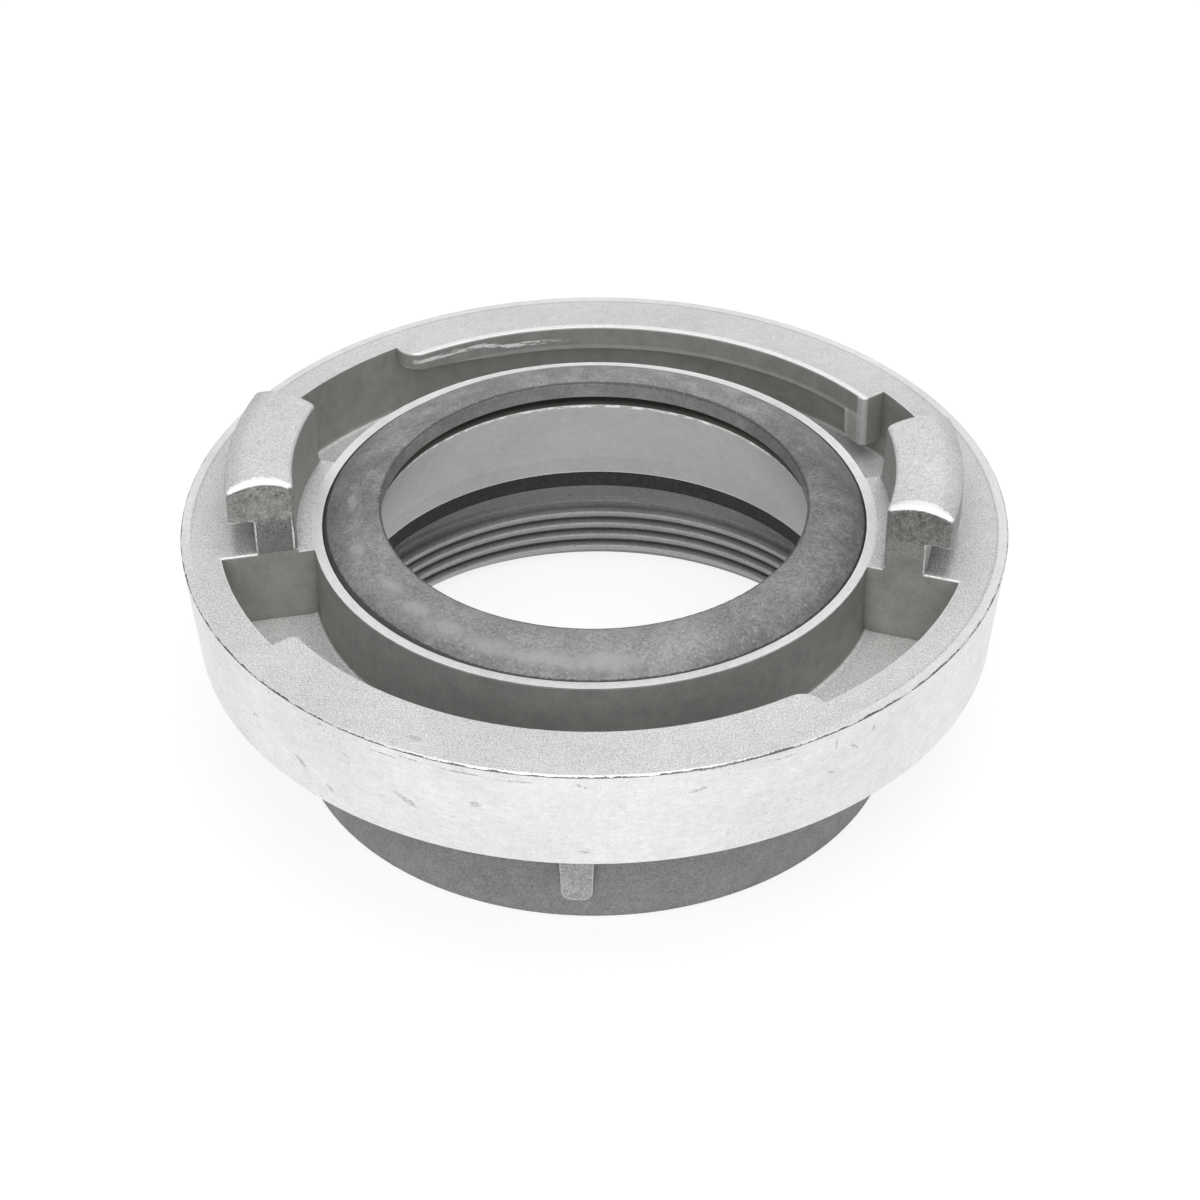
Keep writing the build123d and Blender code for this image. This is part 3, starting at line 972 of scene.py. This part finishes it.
def seal_finish():
    f = Finish("grey_moulded_rubber")
    at = RoundPlace(f)
    cloud = f.noise(at.point, 0.13, detail=5.0, roughness=0.62)
    mottle = f.noise(at.point, 2.2, detail=4.0, roughness=0.8)
    patches = f.noise(at.point, 0.55, detail=4.0, roughness=0.7)
    smears = f.noise(at.turned(5.0, 0.35), 1.0, detail=6.0, roughness=0.6)
    specks = f.noise(at.point, 2.2, detail=1.0).rises(0.72, 0.77)
    crumbs = f.noise(at.point, 1.7, detail=3.0, roughness=0.65)
    wobble = f.noise(at.turned(16.0, 0.0), 1.0, detail=4.0, roughness=0.65)

    crown = at.radius.between(*SEAL_CROWN, 2.5) * at.up.rises(0.6, 0.9)
    in_front = 1 - at.y.rises(-22.0, 6.0)
    past_lip = at.radius - SEAL_LIP_RADIUS + (wobble - 0.5) * 0.5
    bore_line = at.up.rises(0.20, 0.50) * (1 - past_lip.rises(0.05, 0.40))
    bore_line = bore_line * crumbs.rises(0.30, 0.45)
    # Painted shadow and dirt in the gap where the seal drops below the rim.
    gap_reach = (1 - at.x.rises(-34.0, -8.0)) * 0.35 + (crumbs - 0.5) * 0.4
    outer_gap = (at.radius + gap_reach).rises(SEAL_GAP_RADIUS - 0.15, SEAL_GAP_RADIUS)
    smudges = seal_marks(at, SEAL_SMUDGES, patches)
    scratches = seal_marks(at, SEAL_SCRATCHES, smears)

    uneven = (mottle - 0.5) * 1.9 + (patches - 0.5) * 0.9 + (cloud - 0.5) * 0.4
    lighter = at.x.rises(-30.0, 5.0) * 0.12 - at.x.rises(8.0, 34.0) * 0.32
    lighter = lighter + at.y.rises(8.0, 32.0) * 0.28
    colour = f.blend(cloud.rises(0.42, 0.70) * 0.55, SEAL_GREY, SEAL_DRY_AND_HIGHLIGHT)
    colour = f.blend(smears.rises(0.48, 0.68) * crown * 0.6, colour, SEAL_DRY_AND_HIGHLIGHT)
    # Painted highlight: the crown is lighter in front, towards the lamps.
    colour = f.blend(in_front * crown * 0.55, colour, SEAL_DRY_AND_HIGHLIGHT)
    colour = f.shaded(colour, 1 + uneven + lighter + at.inward.rises(0.5, 0.9) * 0.35)
    layers = [
        (smudges * 0.55, SEAL_TALC),
        (specks.greatest(scratches) * 0.6, SEAL_TALC),
        (bore_line * 0.8, SEAL_DARK),
        (outer_gap, SEAL_DARK),
    ]
    for mask, grey in layers:
        colour = f.blend(mask, colour, grey)

    roughness = 0.58 + (mottle - 0.5) * 0.3
    height = mottle * 0.7 + cloud - bore_line
    return f.finished(colour, roughness, 0.0, height, 0.10)


seal.material_slots[0].material = seal_finish()
print("seal finish:", seal.material_slots[0].material.name, len(seal.data.polygons), "faces")

# %% [markdown]
# The gasket lies deep in the bore, and little of it is seen. An even black with a faint
# mottle is enough for it.

# %% Thread gasket

GASKET_BLACK = (0.022, 0.022, 0.021)
GASKET_GREY = (0.050, 0.050, 0.048)


def gasket_finish():
    f = Finish("black_cut_rubber")
    at = RoundPlace(f)
    mottle = f.noise(at.point, 1.2, detail=4.0, roughness=0.6)
    colour = f.blend(mottle.rises(0.4, 0.7), GASKET_BLACK, GASKET_GREY)
    return f.finished(colour, 0.7 + (mottle - 0.5) * 0.2, 0.0, mottle, 0.08)


gasket.material_slots[0].material = gasket_finish()
print("gasket finish:", gasket.material_slots[0].material.name)

# %% [markdown]
# The thread's ridge
#
# A pipe thread is a ridge that climbs one pitch each turn. It could be cut out of the bore
# with a boolean, which is slow and leaves thin slivers, or drawn in the bump, which would
# leave the exported shape smooth. Here Geometry Nodes sweep a rounded section along a
# spiral. The spiral's radius swells from nothing over the first half turn and shrinks over
# the last, as where a tap runs out, and the section's foot is buried in the wall.

# %% Tree of the thread's ridge


def thread_tree(sizes, material):
    """Geometry Nodes tree that sweeps a thread's ridge round the Z axis."""
    node_tree = bpy.data.node_groups.new("thread_ridge", "GeometryNodeTree")
    sockets = node_tree.interface
    for name, value in sizes.items():
        kind = "NodeSocketInt" if isinstance(value, int) else "NodeSocketFloat"
        sockets.new_socket(name, in_out="INPUT", socket_type=kind)
    sockets.new_socket("Geometry", in_out="OUTPUT", socket_type="NodeSocketGeometry")
    tree = Tree(node_tree)
    given = {name: tree.add("NodeGroupInput", output=name) for name in sizes}

    turns = given["Turns"]
    spiral = tree.add("GeometryNodeCurveSpiral", None, {
        "Resolution": given["Steps per turn"],
        "Rotations": turns,
        "Start Radius": given["Root radius"],
        "End Radius": given["Root radius"],
        "Height": turns * given["Pitch"],
    })
    upright = tree.add("GeometryNodeSetCurveNormal", {"mode": "Z_UP"}, {0: spiral})
    from_start = tree.add("GeometryNodeSplineParameter", output="Factor") * turns
    from_end = turns - from_start
    swell = tree.add("ShaderNodeMapRange", {"interpolation_type": "SMOOTHSTEP"}, {
        "Value": from_start.maths("MINIMUM", from_start, from_end),
        "From Max": given["Run out"],
        "To Min": 0.05,
    })
    swollen = tree.add("GeometryNodeSetCurveRadius", None, {0: upright, "Radius": swell})

    profile = tree.add("GeometryNodeCurvePrimitiveQuadrilateral", {"mode": "TRAPEZOID"}, {
        "Bottom Width": given["Foot width"],
        "Top Width": given["Crest width"],
        "Height": given["Ridge height"],
        "Offset": 0.0,
    })
    rounded = tree.add("GeometryNodeFilletCurve", {"mode": "POLY"}, {
        "Curve": profile, "Count": 4, "Radius": given["Crest round"],
    })
    swept = tree.add("GeometryNodeCurveToMesh", None, {
        "Curve": swollen, "Profile Curve": rounded, "Fill Caps": True,
    })
    smooth = tree.add("GeometryNodeSetShadeSmooth", None, {0: swept, "Shade Smooth": True})
    real = tree.add("GeometryNodeRealizeInstances", None, {0: smooth})
    dressed = tree.add("GeometryNodeSetMaterial", None, {0: real, "Material": material})
    tree.add("NodeGroupOutput", None, {0: dressed})
    return node_tree


# %% [markdown]
# The ridge has to be a plain mesh in the end, because the exported model knows nothing of
# Geometry Nodes. So the tree is run once on an empty mesh, and its result becomes the
# piece. The ridge then stands just above the hub's end and takes the casting's material,
# because it is the same metal.

# %% Thread ridge


def made_by(tree, name, sizes):
    """Plain mesh object that a Geometry Nodes tree makes from its named sizes."""
    piece = bpy.data.objects.new(name, bpy.data.meshes.new(name))
    bpy.context.scene.collection.objects.link(piece)
    modifier = piece.modifiers.new(name, "NODES")
    modifier.node_group = tree
    for socket in tree.interface.items_tree:
        if socket.in_out == "INPUT":
            modifier[socket.identifier] = sizes[socket.name]
    evaluated = piece.evaluated_get(bpy.context.evaluated_depsgraph_get())
    mesh = bpy.data.meshes.new_from_object(evaluated)
    piece.modifiers.clear()
    piece.data = mesh
    return piece


thread_sizes = {
    "Turns": 4.3,
    "Pitch": THREAD_PITCH * MM,
    "Steps per turn": 200,
    "Root radius": (THREAD_RADIUS + THREAD_CREST_RADIUS) / 2 * MM,
    "Run out": 0.4,
    "Foot width": 2.15 * MM,
    "Crest width": 0.55 * MM,
    "Ridge height": (THREAD_RADIUS - THREAD_CREST_RADIUS) * MM,
    "Crest round": 0.18 * MM,
}
thread_material = body.material_slots[0].material
thread = made_by(thread_tree(thread_sizes, thread_material), "thread_ridge", thread_sizes)
thread_foot = 1.0 * MM
thread.data.transform(Matrix.Translation((0, 0, thread_foot)))
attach(thread, "root")
print("thread:", len(thread.data.polygons), "faces", [round(v * 1000, 2) for v in thread.dimensions])

# %% [markdown]
# Floor and light
#
# The photograph is a product shot on white, with light from all sides. The floor is a pale
# plain surface. Metal mirrors what is round it, so the world and the floor show white to
# the camera and in reflections, while the light that they throw on the object stays at a
# plain level.

# %% Floor and world

FLOOR_PAINT = (0.30, 0.30, 0.30)
FLOOR_GLOW = 0.82
FLOOR_HALF_WIDTH = 3.0
WORLD_THROW = 0.35


def shown_rays(tree):
    """1 for rays that the camera sees, straight, in a mirror or through glass."""
    seen = tree.add("ShaderNodeLightPath", output="Is Camera Ray")
    mirrored = tree.add("ShaderNodeLightPath", output="Is Glossy Ray")
    through = tree.add("ShaderNodeLightPath", output="Is Transmission Ray")
    return (seen + mirrored + through).rises(0.0, 1.0)


def floor_finish():
    f = Finish("white_floor")
    paint = f.add("ShaderNodeBsdfDiffuse", None, {"Color": (*FLOOR_PAINT, 1)})
    white = {"Color": (1, 1, 1, 1), "Strength": shown_rays(f) * FLOOR_GLOW}
    glow = f.add("ShaderNodeEmission", None, white)
    surface = f.add("ShaderNodeAddShader", None, {0: paint, 1: glow})
    f.add("ShaderNodeOutputMaterial", None, {"Surface": surface})
    return f.material


def floor_piece(half_width):
    mesh = bpy.data.meshes.new("floor")
    corners = [(-half_width, -half_width, 0), (half_width, -half_width, 0)]
    corners += [(half_width, half_width, 0), (-half_width, half_width, 0)]
    mesh.from_pydata(corners, [], [(0, 1, 2, 3)])
    floor = bpy.data.objects.new("floor", mesh)
    bpy.context.scene.collection.objects.link(floor)
    mesh.materials.append(floor_finish())
    return floor


def white_world(throw):
    """White world that throws a plain level of light on the object."""
    world = bpy.data.worlds.new("white_world")
    world.use_nodes = True
    tree = Tree(world.node_tree)
    strength = throw + shown_rays(tree) * (1 - throw)
    white = {"Color": (1, 1, 1, 1), "Strength": strength}
    background = tree.add("ShaderNodeBackground", None, white)
    tree.add("ShaderNodeOutputWorld", None, {"Surface": background})
    bpy.context.scene.world = world


print("floor:", floor_piece(FLOOR_HALF_WIDTH).name)
white_world(WORLD_THROW)

# %% [markdown]
# A broad lamp above and one in front give the soft difference between the top faces and
# the walls. Both are large for their distance, so no shadow has a hard edge.

# %% Lamps

LAMP_TARGET = (0, 0, 0.03)


def lamp(name, place, size, power):
    """Square soft lamp that stands at one point and looks at the object."""
    light = bpy.data.lights.new(name, "AREA")
    light.size = size
    light.energy = power
    stand = bpy.data.objects.new(name, light)
    stand.location = place
    aim = Vector(LAMP_TARGET) - Vector(place)
    stand.rotation_euler = aim.to_track_quat("-Z", "Y").to_euler()
    bpy.context.scene.collection.objects.link(stand)


lamp("top_lamp", (0.15, -0.1, 0.9), size=0.8, power=3.0)
lamp("front_lamp", (-0.05, -0.58, 0.45), size=0.5, power=2.0)

# %% [markdown]
# Camera
#
# The photograph's camera was worked out from ten circles of the object: each is seen as an
# ellipse, and only one place, lens and aim give all of them. The camera looks down at
# about 35 degrees from less than half a metre away.

# %% Camera
camera_azimuth = math.radians(-86.6)
camera_elevation = math.radians(35.19)
camera_distance = 0.4655
camera_aim = Vector((0.00206, -0.02241, FACE * MM))
camera_roll = math.radians(-0.348)

ring_centre = Vector((0, 0, FACE * MM))
stand = Vector((
    math.cos(camera_elevation) * math.cos(camera_azimuth),
    math.cos(camera_elevation) * math.sin(camera_azimuth),
    math.sin(camera_elevation),
))
lens = bpy.data.cameras.new("camera")
lens.lens = 92.27
lens.sensor_width = 36.0
camera = bpy.data.objects.new("camera", lens)
camera.location = ring_centre + camera_distance * stand
gaze = (camera_aim - camera.location).to_track_quat("-Z", "Y").to_matrix()
camera.rotation_euler = (gaze @ Matrix.Rotation(camera_roll, 3, "Z")).to_euler()
bpy.context.scene.collection.objects.link(camera)
bpy.context.scene.camera = camera
bpy.context.scene.view_settings.view_transform = "Standard"
print("camera at", [round(v, 4) for v in camera.location])

# %% [markdown] Blender only dresses the part.
